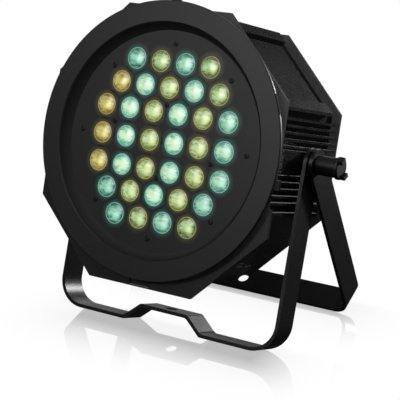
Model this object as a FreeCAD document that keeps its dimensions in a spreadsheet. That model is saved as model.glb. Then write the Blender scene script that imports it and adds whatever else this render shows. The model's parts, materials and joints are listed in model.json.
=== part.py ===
import FreeCAD, Part
import os
from types import SimpleNamespace

import Sketcher

# Par can light. Millimetres, +Z up, origin on the floor under the middle of the object.
# The head is drawn in its own frame: X to the right, Y from the front panel to the rear cover,
# Z up, origin at the centre of the LED panel's front face. It is then tilted about X.

SIZES = {
    # head position
    "head_tilt": 16.1, "head_shift": -51.35, "head_lift": 166.02,
    # LED panel: rows of lenses
    "lens_pitch": 23.1, "outer_row": 43.1, "end_row": 63.1,
    "lens_radius": 8.6, "lens_dome_radius": 30, "lens_dome_rise": 1.26, "lens_skirt": 2,
    "lens_tail_radius": 4, "lens_tail_top": 8.3, "lens_depth": 12, "lens_gap": 0.05,
    "holder_radius": 10.4, "holder_gap": 0.4, "throat_gap": 0.2,
    "plate_radius": 93, "plate_thickness": 2, "screw_circle": 77.9,
    "inner_screw_drop": 29.3, "inner_screw_side": 47.4, "inner_screw_rise": 10.9,
    "screw_radius": 1.5, "screw_hole": 1.6, "screw_head_radius": 2.9, "screw_head": 1.7,
    "plate_screw_length": 9, "plate_screw_head_radius": 2.0, "plate_screw_head": 0.9,
    "panel_screw_length": 7, "cover_screw_length": 16,
    "spacer_radius": 2.5, "board_front": 14, "board_thickness": 1.6, "board_radius": 84,
    "emitter_radius": 2.6, "emitter_height": 1.2, "emitter_base": 0.6, "emitter_dome": 2.1,
    "emitter_top": 1.05, "thread_gap": 0.02,
    "sink_base": 4, "sink_fin_height": 17, "sink_fin_radius": 72, "sink_fin_pitch": 12,
    "sink_fin_thickness": 2, "sink_pad_radius": 5, "bracket_lap": 8, "bracket_depth": 16,
    "bracket_half": 6.25,
    # front ring, its clips and the eight-sided flange
    "ring_radius": 111.1, "ring_opening": 93.9, "ring_front": 9.7, "ring_thickness": 2.5,
    "ring_chamfer": 0.7, "cone_exit": 88.5, "cone_wall": 1.5, "ring_tab_reach": 113.2,
    "clip_width": 9.2, "clip_foot": 96, "clip_bend": 103, "clip_reach": 109, "clip_sheet": 1.2,
    "clip_screw_grip": 3.5, "clip_screw_head_radius": 2.4, "clip_screw_head": 1.4,
    "flange_thickness": 3, "flange_side": 107.4, "flange_top": 106.3, "flange_bottom": 117.1,
    "flange_top_corner": 47.4, "flange_bottom_corner": 48.5, "flange_side_top": 45.5,
    "flange_side_bottom": 59.1, "flange_hole": 92.5, "tab_reach": 110.9, "tab_top": 13.9,
    "tab_bottom": 21.7, "notch_bottom": 37, "notch_depth": 3, "slit_half": 2.6, "slit_depth": 2.5,
    "flange_screw_grip": 8, "window_floor": 0.8,
    "window_half": 9.5, "window_top": 111.8, "window_bottom": 115.9, "flange_screw_circle": 105,
    # housing
    "body_apothem": 102.1, "body_length": 104, "inner_apothem": 94, "land_apothem": 91,
    "recess_apothem": 97, "band_start": 89, "band_apothem": 94.5, "land_start": 86,
    "front_rim": 4, "side_recess": 39.7, "diagonal_recess": 32.1,
    "fin_thickness": 1.8, "fin_pitch": 5.35, "first_fin": 6.2, "fin_root": 93.6,
    "boss_half": 9, "boss_front": 14, "boss_back": 76, "boss_inner": 88,
    "vent_length": 50, "vent_width": 3, "vent_pitch": 8, "vent_front": 28,
    "cover_screw_circle": 96.5, "cover_boss_radius": 4.4, "cover_boss_length": 24,
    "cover_boss_floor": 4,
    # rear cover and what it carries
    "cover_thickness": 2.3, "cover_lip": 6, "cover_lip_apothem": 90.6, "cover_lip_inner": 88.6,
    "display_half_width": 28, "display_half_height": 10, "display_height": 47,
    "button_row": 24, "button_pitch": 18, "button_radius": 4, "button_hole": 4.1,
    "button_flange": 5, "button_back": 100.6, "button_flange_length": 2, "button_face": 108.4,
    "button_gap": 0.4, "button_edge": 0.7, "window_rim": 2, "window_sheet": 1.5,
    "window_inset": 0.4, "module_inset": 2, "module_margin": 1, "module_gap": 0.5,
    "module_pin_radius": 0.5, "module_pin_hole": 0.55, "module_pin_length": 3,
    "module_pin_grip": 2.6, "panel_gap": 0.1, "panel_drill": 8,
    "switch_half": 3, "switch_height": 3.6, "switch_stem": 1.7, "switch_gap": 0.6,
    "chip_side": -20, "chip_rise": 30, "chip_half": 6, "chip_height": 2,
    "control_front": 93.4, "control_half_width": 45, "control_low": 12, "control_high": 60,
    "control_post_radius": 3, "control_post_side": 41, "control_post_low": 16,
    "control_post_high": 56, "socket_side": 36, "socket_drop": 22, "socket_half_width": 13,
    "socket_half_height": 15.5, "socket_flange": 2, "socket_barrel": 11.4, "socket_bore": 9.3,
    "socket_depth": 17, "socket_bottom": 2, "socket_screw_x": 9.8, "socket_screw_z": 12.2,
    "pin_circle": 4.4, "pin_radius": 1.15, "pin_length": 12, "pin_tip": 1,
    "pin_tip_radius": 0.6, "pin_hole_gap": 0.25,
    "insert_radius": 8.3, "insert_length": 13,
    "latch_half": 3, "latch_low": 8.9, "latch_high": 11, "latch_depth": 6, "latch_stand": 3.5,
    "latch_travel": 1.3, "latch_gap": 0.2, "grip_rise": 0.6, "grip_margin": 0.5,
    "inlet_drop": 63, "inlet_half_width": 14.5, "inlet_half_height": 10.5, "inlet_flange_half": 25,
    "inlet_flange_height": 12, "inlet_mouth_width": 12.2, "inlet_mouth_height": 8.2,
    "inlet_depth": 19, "inlet_bottom": 3, "inlet_screw": 20, "blade_width": 4, "blade_height": 2,
    "blade_pitch": 7, "blade_length": 14, "blade_drop": 1.5, "blade_rise": 1.8,
    "inlet_gap": 0.2,
    "fuse_side": 46, "fuse_drop": 64, "fuse_holder_radius": 7, "fuse_bore": 5.2,
    "fuse_holder_length": 30, "fuse_rim_radius": 9, "fuse_rim": 2, "fuse_radius": 2.6,
    "fuse_length": 20, "fuse_cap_radius": 8, "fuse_cap": 7, "fuse_stem": 4.9, "fuse_stem_length": 6,
    "fuse_floor": 2, "fuse_start": 2.4, "ferrule_radius": 2.9, "ferrule": 5,
    "fuse_cap_gap": 0.3, "coin_slot": 1, "coin_slot_half": 0.8,
    "eye_height": 82, "eye_major": 9, "eye_wire": 2, "eye_plate_half": 18, "eye_plate_height": 6,
    "eye_plate": 2, "eye_screw": 14.5, "eye_sink": 0.5,
    "panel_vent_near": 60, "panel_vent_pitch": 6, "panel_vent_half": 26,
    # power board inside
    "power_front": 44, "power_half_width": 56, "power_half_height": 34, "power_post": 4,
    "power_post_x": 50, "power_post_z": 28, "transformer_width": 30, "transformer_height": 26,
    "transformer_depth": 24, "transformer_x": -18, "capacitor_radius": 10, "capacitor_length": 26,
    "capacitor_x": -41, "capacitor_drop": 20, "second_capacitor_x": 14, "second_capacitor_rise": 18,
    "coil_inset": 5, "coil_reach": 4, "coil_foot": 1, "coil_top": 2, "capacitor_edge": 1,
    "transistor_x": 26, "transistor_pitch": 9, "transistor_drop": 18,
    "transistor_half": 5, "transistor_half_depth": 2.5, "transistor_height": 12,
    "lead_radius": 1.6,
    # pivot
    "pivot_depth": 57.3, "pivot_rise": 0.5, "bolt_radius": 4, "bolt_clearance": 0.05,
    "bolt_head_radius": 7, "bolt_head": 4.5, "bolt_end": 125, "washer_radius": 9,
    "washer_gap": 0.1, "knob_start": 112.1, "knob_barrel": 7.7, "knob_waist": 8.1,
    "knob_disc_start": 128, "knob_disc": 9.1, "knob_end": 131.7, "knob_chamfer": 0.8,
    "knob_insert_radius": 6, "knob_insert_length": 14, "wing_reach": 3, "wing_width": 6,
    "wing_inner": 5.4, "wing_outer": 8.8, "wing_turn": 55,
    # yokes: flat bar, half spans and drops are to the outer faces
    "bar_width": 25, "bar_thickness": 3, "yoke_hole": 5.1,
    "front_half_span": 106.9, "front_drop": 154.3, "front_bend": 20.8, "front_angle": 18.0,
    "joggle_rise": 12.7, "joggle_angle": 40.3, "joggle_half": 37, "joggle_bend": 3,
    "rear_half_span": 111.8, "rear_drop": 163.8, "rear_bend": 11.5, "rear_angle": 27.9,
}

PATTERN = ("CYCY", "YCYCY", "YCYCYC", "YCYCYC", "YCYCYC", "CYCYC", "CYCY")
OCTANT = 45.0
HALF_OCTANT = 22.5
QUARTERS = (0.0, 90.0, 180.0, 270.0)
DIAGONALS = (45.0, 135.0, 225.0, 315.0)
CUT_MARGIN = 2.0
# Fused shapes reach this far into each other.
OVERLAP = 1.0
# Screw heads: widths and depths as shares of the head's radius and height.
HEAD_CROWN = 0.72
HEAD_BEVEL = 0.45
CROSS_REACH = 0.62
CROSS_HALF = 0.13
SINK_FINS_EACH_SIDE = 5
FINS_EACH_SIDE = 6
VENTS_EACH_SIDE = 3
PANEL_VENTS = 4
TRANSISTORS = 3
BUTTON_STEPS = (-1.5, -0.5, 0.5, 1.5)
MODULE_PINS = tuple((x, z) for x in (-15.0, -5.0, 5.0, 15.0) for z in (-7.0, 7.0))
CORNER_TOLERANCE = 0.01
LEAD_PULL = 30.0
LEAD_GAP = 0.05

AXIS_TURN = {
    "X": "rotation(vector(0; 1; 0); 90)",
    "Y": "rotation(vector(1; 0; 0); -90)",
    "Z": "rotation(vector(0; 0; 1); 0)",
}
PAD_IS_REVERSED = {"XY_Plane": False, "XZ_Plane": True, "YZ_Plane": False}
HEAD_FRAME = (
    "placement(vector(0; Dims.head_shift; Dims.head_lift); "
    "rotation(vector(1; 0; 0); -Dims.head_tilt))"
)
PIVOT_FRAME = (
    HEAD_FRAME + " * placement(vector(0; Dims.pivot_depth; Dims.pivot_rise); "
    "rotation(vector(1; 0; 0); 0))"
)

DOC = FreeCAD.newDocument("ParCan")
NODES = []


class Size:
    """A number together with the sheet expression that gives it."""

    def __init__(self, number, text):
        self.number = number
        self.text = text

    def __add__(self, other):
        other = as_size(other)
        return Size(self.number + other.number, "(%s + %s)" % (self.text, other.text))

    def __sub__(self, other):
        other = as_size(other)
        return Size(self.number - other.number, "(%s - %s)" % (self.text, other.text))

    def __mul__(self, other):
        other = as_size(other)
        return Size(self.number * other.number, "(%s * %s)" % (self.text, other.text))

    def __truediv__(self, other):
        other = as_size(other)
        return Size(self.number / other.number, "(%s / %s)" % (self.text, other.text))

    def __neg__(self):
        return Size(-self.number, "(-1 * %s)" % self.text)

    __radd__ = __add__
    __rmul__ = __mul__


def as_size(value):
    if isinstance(value, Size):
        return value
    return Size(float(value), "(%.6f)" % value)


def fill_sheet():
    """Write every driving size into the spreadsheet and return them as Size values."""
    sheet = DOC.addObject("Spreadsheet::Sheet", "Dims")
    sizes = SimpleNamespace()
    for row, (name, number) in enumerate(SIZES.items(), start=1):
        sheet.set("A%d" % row, name)
        sheet.set("B%d" % row, str(number))
        sheet.setAlias("B%d" % row, name)
        setattr(sizes, name, Size(float(number), "Dims." + name))
    DOC.recompute()
    return sizes


d = fill_sheet()


def bind(item, name, size):
    item.setExpression(name, as_size(size).text)


def trig(function, angle):
    """cos, sin or tan of an angle in degrees, kept as an expression."""
    angle = as_size(angle)
    turned = FreeCAD.Rotation(FreeCAD.Vector(0, 0, 1), angle.number)
    direction = turned.multVec(FreeCAD.Vector(1, 0, 0))
    slope = direction.y / direction.x if direction.x else 0
    number = {"cos": direction.x, "sin": direction.y, "tan": slope}
    return Size(number[function], "%s(%s)" % (function, angle.text))


def polar(radius, angle):
    return (as_size(radius) * trig("cos", angle), as_size(radius) * trig("sin", angle))


def local_frame(x, y, z, turn):
    corner = "; ".join(as_size(value).text for value in (x, y, z))
    return "placement(vector(%s); %s)" % (corner, turn)


def box(x0, x1, y0, y1, z0, z1):
    """Part::Box between two values on each axis."""
    item = DOC.addObject("Part::Box", "box")
    bind(item, "Length", as_size(x1) - x0)
    bind(item, "Width", as_size(y1) - y0)
    bind(item, "Height", as_size(z1) - z0)
    item.setExpression("Placement", local_frame(x0, y0, z0, AXIS_TURN["Z"]))
    return item


def cylinder(axis, radius, length, x=0, y=0, z=0):
    """Part::Cylinder that starts at a point and runs along +axis."""
    item = DOC.addObject("Part::Cylinder", "cylinder")
    bind(item, "Radius", radius)
    bind(item, "Height", length)
    item.setExpression("Placement", local_frame(x, y, z, AXIS_TURN[axis]))
    return item


def cone(axis, start_radius, end_radius, length, x=0, y=0, z=0):
    item = DOC.addObject("Part::Cone", "cone")
    bind(item, "Radius1", start_radius)
    bind(item, "Radius2", end_radius)
    bind(item, "Height", length)
    item.setExpression("Placement", local_frame(x, y, z, AXIS_TURN[axis]))
    return item


def fuse(*items):
    if len(items) == 1:
        return items[0]
    result = DOC.addObject("Part::MultiFuse", "joined")
    result.Shapes = list(items)
    return result


def common(first, second):
    result = DOC.addObject("Part::Common", "common")
    result.Base = first
    result.Tool = second
    return result


def cut(base, *tools):
    result = DOC.addObject("Part::Cut", "cut")
    result.Base = base
    result.Tool = fuse(*tools)
    return result


def group(master, frames):
    """One separate copy of the master at each frame (a placement expression)."""
    copies = []
    for frame in frames:
        copy = DOC.addObject("App::Link", "copy")
        copy.LinkedObject = master
        copy.LinkTransform = True
        copy.setExpression("Placement", frame)
        copies.append(copy)
    result = DOC.addObject("Part::Compound", "group")
    result.Links = copies
    return result


def spots(places):
    """Placement expressions that only move a copy to (x, y, z)."""
    return [local_frame(x, y, z, AXIS_TURN["Z"]) for x, y, z in places]


def turned_about_y(angles):
    """Placement expressions that turn a copy about the head's Y axis."""
    return [local_frame(0, 0, 0, "rotation(vector(0; 1; 0); %.4f)" % angle) for angle in angles]


def node(name, item, frame=HEAD_FRAME):
    """Name a finished sub-part, stand it in the object's frame and list it for export."""
    item.Label = name
    item.setExpression("Placement", frame)
    NODES.append(item)


def origin_feature(body, role):
    return [feature for feature in body.Origin.OriginFeatures if feature.Role == role][0]


class Outline:
    """A sketch on one of a body's origin planes, with every point tied to the sheet."""

    def __init__(self, body, plane, height=0):
        self.plane = plane
        self.sketch = body.newObject("Sketcher::SketchObject", "Sketch")
        self.sketch.AttachmentSupport = [(origin_feature(body, plane), "")]
        self.sketch.MapMode = "FlatFace"
        side = -1 if plane == "XZ_Plane" else 1
        bind(self.sketch, "AttachmentOffset.Base.z", as_size(height) * side)

    def pin(self, geometry, point, u, v):
        """Fix one point at (u, v) from the sketch's origin."""
        for kind, value, axis in (("DistanceX", as_size(u), -2), ("DistanceY", as_size(v), -1)):
            if abs(value.number) < CORNER_TOLERANCE:
                self.sketch.addConstraint(Sketcher.Constraint("PointOnObject", geometry, point, axis))
                continue
            ends = (-1, 1, geometry, point) if value.number > 0 else (geometry, point, -1, 1)
            index = self.sketch.addConstraint(Sketcher.Constraint(kind, *ends, abs(value.number)))
            length = value if value.number > 0 else -value
            bind(self.sketch, "Constraints[%d]" % index, length)

    def polygon(self, corners):
        first = self.sketch.GeometryCount
        count = len(corners)
        points = [FreeCAD.Vector(as_size(u).number, as_size(v).number, 0) for u, v in corners]
        lines = [Part.LineSegment(points[i], points[(i + 1) % count]) for i in range(count)]
        self.sketch.addGeometry(lines, False)
        joins = [
            Sketcher.Constraint("Coincident", first + i, 2, first + (i + 1) % count, 1)
            for i in range(count)
        ]
        self.sketch.addConstraint(joins)
        for i, (u, v) in enumerate(corners):
            self.pin(first + i, 1, u, v)
        return self

    def rectangle(self, u0, u1, v0, v1):
        return self.polygon([(u0, v0), (u1, v0), (u1, v1), (u0, v1)])

    def octagon(self, apothem):
        reach = as_size(apothem) / trig("cos", HALF_OCTANT)
        return self.polygon([polar(reach, HALF_OCTANT + OCTANT * i) for i in range(8)])

    def circle(self, u, v, radius):
        centre = FreeCAD.Vector(as_size(u).number, as_size(v).number, 0)
        shape = Part.Circle(centre, FreeCAD.Vector(0, 0, 1), as_size(radius).number)
        geometry = self.sketch.addGeometry(shape, False)
        index = self.sketch.addConstraint(Sketcher.Constraint("Radius", geometry, as_size(radius).number))
        bind(self.sketch, "Constraints[%d]" % index, radius)
        self.pin(geometry, 3, u, v)
        return self

    def circles(self, centres, radius):
        for u, v in centres:
            self.circle(u, v, radius)
        return self


def new_body(name):
    return DOC.addObject("PartDesign::Body", name + "_body")


def pad(body, outline, length):
    """Add material from the sketch's plane along the plane's + axis."""
    feature = body.newObject("PartDesign::Pad", "Pad")
    feature.Profile = outline.sketch
    feature.Reversed = PAD_IS_REVERSED[outline.plane]
    bind(feature, "Length", length)
    return feature


def pocket(body, outline, length):
    """Remove material from the sketch's plane along the plane's + axis."""
    feature = body.newObject("PartDesign::Pocket", "Pocket")
    feature.Profile = outline.sketch
    feature.Reversed = not PAD_IS_REVERSED[outline.plane]
    bind(feature, "Length", length)
    return feature


def revolve(body, outline, axis_role):
    feature = body.newObject("PartDesign::Revolution", "Revolution")
    feature.Profile = outline.sketch
    feature.ReferenceAxis = (origin_feature(body, axis_role), [""])
    feature.Angle = 360
    return feature


def mirror_left_right(body, features):
    feature = body.newObject("PartDesign::Mirrored", "Mirrored")
    feature.Originals = features
    feature.MirrorPlane = (origin_feature(body, "YZ_Plane"), [""])
    body.Tip = feature
    return feature


def both_sides(value):
    return (-as_size(value), as_size(value))


def circle_spots(radius, start, count):
    return [polar(radius, start + 360.0 / count * i) for i in range(count)]


def lens_rows():
    """(x, z, colour letter) of every lens, row by row from the top."""
    upper = (d.end_row, d.outer_row, d.lens_pitch)
    heights = upper + (Size(0.0, "0"),) + tuple(-height for height in reversed(upper))
    found = []
    for height, letters in zip(heights, PATTERN):
        for column, letter in enumerate(letters):
            found.append((d.lens_pitch * (column - (len(letters) - 1) / 2.0), height, letter))
    return found


def panel_screws():
    ring = circle_spots(d.screw_circle, 0, 8)
    inner = [
        (as_size(0), d.inner_screw_drop),
        (as_size(0), -d.inner_screw_drop),
        (-d.inner_screw_side, d.inner_screw_rise),
        (d.inner_screw_side, -d.inner_screw_rise),
    ]
    return ring + inner


def screw(length, head_radius=None, head=None):
    """Pan-head screw along Y: the head stands in front of y = 0, the shank behind it."""
    head_radius = head_radius or d.screw_head_radius
    head = head or d.screw_head
    whole = fuse(
        cone("Y", head_radius * HEAD_CROWN, head_radius, head * HEAD_BEVEL, y=-head),
        cylinder("Y", head_radius, head * (1 - HEAD_BEVEL), y=head * (HEAD_BEVEL - 1)),
        cylinder("Y", d.screw_radius, length),
    )
    reach = head_radius * CROSS_REACH
    half = head_radius * CROSS_HALF
    floor = head * -HEAD_BEVEL
    cross = fuse(
        box(-reach, reach, -head - OVERLAP, floor, -half, half),
        box(-half, half, -head - OVERLAP, floor, -reach, reach),
    )
    return cut(whole, cross)


def single(item):
    """One part drawn in place, as a node of its own."""
    return group(item, spots([(0, 0, 0)]))


def rear_facing(places, depth):
    """Frames for screws whose heads face the rear, at depth y."""
    turn = "rotation(vector(0; 0; 1); 180)"
    return [local_frame(x, depth, z, turn) for x, z in places]


# ---------------------------------------------------------------- front

def make_front_ring():
    body = new_body("front_ring")
    back = d.ring_front - d.ring_thickness
    lean = (d.ring_opening - d.cone_exit) / d.ring_front
    wall = d.cone_wall
    profile = [
        (-d.ring_front, d.ring_opening + d.ring_chamfer),
        (-d.ring_front, d.ring_radius - d.ring_chamfer),
        (d.ring_chamfer - d.ring_front, d.ring_radius),
        (-back, d.ring_radius),
        (-back, d.ring_opening + wall - lean * d.ring_thickness),
        (as_size(0), d.cone_exit + wall),
        (as_size(0), d.cone_exit),
        (d.ring_chamfer - d.ring_front, d.ring_opening - lean * d.ring_chamfer),
    ]
    revolve(body, Outline(body, "YZ_Plane").polygon(profile), "Y_Axis")
    tab = Outline(body, "XZ_Plane", d.ring_chamfer - d.ring_front)
    half = d.clip_width / 2
    tab.rectangle(-half, half, d.ring_radius - d.ring_thickness, d.ring_tab_reach)
    pad(body, tab, d.ring_thickness - d.ring_chamfer)
    node("front_ring", body)


def clip_screw_places():
    return circle_spots((d.clip_foot + d.clip_bend - d.clip_sheet) / 2, 0, 4)


def make_ring_clips():
    """Bent sheet clips: foot screwed to the flange, shelf that carries the ring from behind."""
    body = new_body("ring_clip")
    sheet = d.clip_sheet
    foot = -d.flange_thickness
    shelf = d.ring_thickness - d.ring_front
    profile = [
        (foot, d.clip_foot),
        (foot, d.clip_bend),
        (shelf + sheet, d.clip_bend),
        (shelf + sheet, d.clip_reach),
        (shelf, d.clip_reach),
        (shelf, d.clip_bend - sheet),
        (foot - sheet, d.clip_bend - sheet),
        (foot - sheet, d.clip_foot),
    ]
    outline = Outline(body, "YZ_Plane", d.clip_width * -0.5).polygon(profile)
    pad(body, outline, d.clip_width)
    middle = (d.clip_foot + d.clip_bend - sheet) / 2
    hole = Outline(body, "XZ_Plane", foot - sheet * 2).circle(0, middle, d.screw_hole)
    pocket(body, hole, sheet * 3)
    node("ring_clips", group(body, turned_about_y(QUARTERS)))
    places = [(x, foot - sheet, z) for x, z in clip_screw_places()]
    length = d.flange_thickness + sheet + d.clip_screw_grip
    low_head = screw(length, d.clip_screw_head_radius, d.clip_screw_head)
    node("clip_screws", group(low_head, spots(places)))


def flange_half_outline():
    """Right-hand edge of the flange from the top middle to the bottom middle."""
    return [
        (d.flange_top_corner, d.flange_top),
        (d.flange_side, d.flange_side_top),
        (d.flange_side, d.slit_half),
        (d.flange_side - d.slit_depth, d.slit_half),
        (d.flange_side - d.slit_depth, -d.slit_half),
        (d.flange_side, -d.slit_half),
        (d.flange_side, -d.tab_top),
        (d.tab_reach, -d.tab_top),
        (d.tab_reach, -d.tab_bottom),
        (d.flange_side - d.notch_depth, -d.tab_bottom),
        (d.flange_side - d.notch_depth, -d.notch_bottom),
        (d.flange_side, -d.notch_bottom),
        (d.flange_side, -d.flange_side_bottom),
        (d.flange_bottom_corner, -d.flange_bottom),
    ]


def make_front_flange():
    body = new_body("front_flange")
    right = flange_half_outline()
    left = [(-x, z) for x, z in reversed(right)]
    front = -d.flange_thickness
    pad(body, Outline(body, "XZ_Plane", front).polygon(right + left), d.flange_thickness)
    start = front - CUT_MARGIN
    through = d.flange_thickness + 2 * CUT_MARGIN
    pocket(body, Outline(body, "XZ_Plane", start).circle(0, 0, d.flange_hole), through)
    window = Outline(body, "XZ_Plane", start)
    window.rectangle(-d.window_half, d.window_half, -d.window_bottom, -d.window_top)
    pocket(body, window, CUT_MARGIN + d.flange_thickness - d.window_floor)
    holes = Outline(body, "XZ_Plane", start).circles(flange_screw_places(), d.screw_hole)
    holes.circles(clip_screw_places(), d.screw_hole)
    pocket(body, holes, through)
    node("front_flange", body)
    places = [(x, front, z) for x, z in flange_screw_places()]
    length = d.flange_thickness + d.flange_screw_grip
    node("flange_screws", group(screw(length), spots(places)))


def flange_screw_places():
    return circle_spots(d.flange_screw_circle, HALF_OCTANT, 8)


def make_led_plate():
    body = new_body("led_plate")
    pad(body, Outline(body, "XZ_Plane").circle(0, 0, d.plate_radius), d.plate_thickness)
    through = d.plate_thickness + 2 * CUT_MARGIN
    lens_holes = Outline(body, "XZ_Plane", -CUT_MARGIN)
    lens_holes.circles([(x, z) for x, z, _ in lens_rows()], d.lens_radius + d.lens_gap)
    pocket(body, lens_holes, through)
    holes = Outline(body, "XZ_Plane", -CUT_MARGIN).circles(panel_screws(), d.screw_hole)
    pocket(body, holes, through)
    node("led_plate", body)
    places = [(x, as_size(0), z) for x, z in panel_screws()]
    plate_screw = screw(d.plate_screw_length, d.plate_screw_head_radius, d.plate_screw_head)
    node("plate_screws", group(plate_screw, spots(places)))


def make_lenses():
    """Collimator lens: shallow dome, short skirt and a tail that narrows towards its LED."""
    dome = DOC.addObject("Part::Sphere", "dome")
    bind(dome, "Radius", d.lens_dome_radius)
    dome.setExpression(
        "Placement", local_frame(0, d.lens_dome_radius - d.lens_dome_rise, 0, AXIS_TURN["Z"])
    )
    skirt = cylinder("Y", d.lens_radius, d.lens_dome_rise + d.lens_skirt, y=-d.lens_dome_rise)
    tail = cone("Y", d.lens_tail_top, d.lens_tail_radius, d.lens_depth - d.lens_skirt + OVERLAP,
                y=d.lens_skirt - OVERLAP)
    lens = common(fuse(skirt, tail), dome)
    for name, letter in (("lenses_cyan", "C"), ("lenses_amber", "Y")):
        places = [(x, as_size(0), z) for x, z, colour in lens_rows() if colour == letter]
        node(name, group(lens, spots(places)))


def make_lens_holders():
    cup = cylinder("Y", d.holder_radius, d.board_front - d.plate_thickness, y=d.plate_thickness)
    depth = d.lens_depth - d.lens_skirt
    hollow = cone("Y", d.lens_radius, d.lens_tail_radius + d.holder_gap, depth, y=d.lens_skirt)
    throat = cylinder("Y", d.lens_tail_radius + d.throat_gap, d.board_front, y=d.plate_thickness)
    places = [(x, as_size(0), z) for x, z, _ in lens_rows()]
    node("lens_holders", group(cut(cup, hollow, throat), spots(places)))


def make_led_board():
    body = new_body("led_board")
    board = Outline(body, "XZ_Plane", d.board_front).circle(0, 0, d.board_radius)
    pad(body, board, d.board_thickness)
    node("led_board", body)
    wide = d.emitter_radius
    base = d.board_front - d.emitter_base
    top = d.board_front - d.emitter_height
    emitter = fuse(
        box(-wide, wide, base, d.board_front, -wide, wide),
        cone("Y", d.emitter_top, d.emitter_dome, base - top, y=top),
    )
    places = [(x, as_size(0), z) for x, z, _ in lens_rows()]
    node("led_emitters", group(emitter, spots(places)))
    length = d.board_front - d.plate_thickness
    spacer = cut(
        cylinder("Y", d.spacer_radius, length, y=d.plate_thickness),
        cylinder("Y", d.screw_radius + d.thread_gap, length + 2 * CUT_MARGIN,
                 y=d.plate_thickness - CUT_MARGIN),
    )
    places = [(x, as_size(0), z) for x, z in panel_screws()]
    node("plate_spacers", group(spacer, spots(places)))


def power_post_places():
    return [(x, z) for x in both_sides(d.power_post_x) for z in both_sides(d.power_post_z)]


def make_heat_sink():
    back = d.board_front + d.board_thickness
    fin_start = back + d.sink_base
    fins = []
    for step in range(-SINK_FINS_EACH_SIDE, SINK_FINS_EACH_SIDE + 1):
        centre = d.sink_fin_pitch * step
        half = d.sink_fin_thickness / 2
        fins.append(box(-d.board_radius, d.board_radius, fin_start - OVERLAP,
                        fin_start + d.sink_fin_height, centre - half, centre + half))
    round_edge = cylinder("Y", d.sink_fin_radius, d.sink_fin_height + 2 * CUT_MARGIN,
                          y=fin_start - CUT_MARGIN)
    trimmed = common(fuse(*fins), round_edge)
    pads = [
        cylinder("Y", d.sink_pad_radius, d.sink_fin_height + OVERLAP, x=x, y=fin_start - OVERLAP, z=z)
        for x, z in power_post_places()
    ]
    base = cylinder("Y", d.board_radius, d.sink_base, y=back)
    node("heat_sink", fuse(base, trimmed, *pads))
    make_sink_brackets(fin_start)


def make_sink_brackets(start):
    """Angle brackets from the heat sink's rim to the housing's diagonal walls."""
    half = d.bracket_half
    rim = d.board_radius - d.bracket_lap
    wall = d.inner_apothem
    sheet = d.plate_thickness
    angle = fuse(
        box(-half, half, start, start + sheet, rim, wall),
        box(-half, half, start, start + d.bracket_depth, wall - sheet, wall),
    )
    middle = rim + d.bracket_lap / 2
    hole = cylinder("Y", d.screw_hole, sheet + 2 * CUT_MARGIN, y=start - CUT_MARGIN, z=middle)
    node("sink_brackets", group(cut(angle, hole), turned_about_y(DIAGONALS)))
    places = circle_spots(middle, OCTANT, len(DIAGONALS))
    node("bracket_screws", group(screw(sheet), rear_facing(places, start + sheet)))


# ---------------------------------------------------------------- housing

def diagonal_recess(direction):
    """Corners of the shallow recess on the diagonal face that looks along direction."""
    turned = direction + 90.0
    corners = []
    depths = (d.recess_apothem, d.body_apothem + CUT_MARGIN)
    for depth, side in ((0, -1), (1, -1), (1, 1), (0, 1)):
        x, z = polar(depths[depth], direction)
        along_x, along_z = polar(d.diagonal_recess * side, turned)
        corners.append((x + along_x, z + along_z))
    return corners


def fin_rows():
    rows = []
    for step in range(FINS_EACH_SIDE):
        height = d.first_fin + d.fin_pitch * step
        rows += [height, -height]
    return rows


def make_housing():
    body = new_body("housing")
    pad(body, Outline(body, "XZ_Plane").octagon(d.body_apothem), d.body_length)
    front = Outline(body, "XZ_Plane", -CUT_MARGIN).octagon(d.inner_apothem)
    pocket(body, front, d.land_start + CUT_MARGIN)
    rear = Outline(body, "XZ_Plane", d.land_start - CUT_MARGIN).octagon(d.land_apothem)
    pocket(body, rear, d.body_length - d.land_start + 2 * CUT_MARGIN)
    cut_recesses(body)
    cut_band(body)
    add_fins_and_boss(body)
    cut_vents(body)
    add_cover_bosses(body)
    drill_front_rim(body)
    node("housing", body)


def cut_recesses(body):
    """Shallow recesses on all eight faces leave the corner ribs standing."""
    recesses = Outline(body, "XZ_Plane", d.front_rim)
    for direction in DIAGONALS:
        recesses.polygon(diagonal_recess(direction))
    deep = d.body_apothem + CUT_MARGIN
    side = d.side_recess
    recesses.rectangle(d.recess_apothem, deep, -side, side)
    recesses.rectangle(-deep, -d.recess_apothem, -side, side)
    recesses.rectangle(-side, side, d.recess_apothem, deep)
    recesses.rectangle(-side, side, -deep, -d.recess_apothem)
    pocket(body, recesses, d.body_length)


def cut_band(body):
    """Deeper band all round, just in front of the rear cover."""
    band = Outline(body, "XZ_Plane", d.band_start)
    band.octagon(d.body_apothem + CUT_MARGIN)
    band.octagon(d.band_apothem)
    pocket(body, band, d.body_length)


def add_fins_and_boss(body):
    fins = Outline(body, "XZ_Plane")
    half = d.fin_thickness / 2
    for height in fin_rows():
        fins.rectangle(d.fin_root, d.body_apothem, height - half, height + half)
    right_fins = pad(body, fins, d.body_length)
    boss = Outline(body, "XZ_Plane", d.boss_front)
    boss.rectangle(d.boss_inner, d.body_apothem, -d.boss_half, d.boss_half)
    right_boss = pad(body, boss, d.boss_back - d.boss_front)
    hole = Outline(body, "YZ_Plane", d.boss_inner - CUT_MARGIN)
    hole.circle(d.pivot_depth, d.pivot_rise, d.bolt_radius)
    right_hole = pocket(body, hole, d.body_apothem - d.boss_inner + 2 * CUT_MARGIN)
    mirror_left_right(body, [right_fins, right_boss, right_hole])


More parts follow.
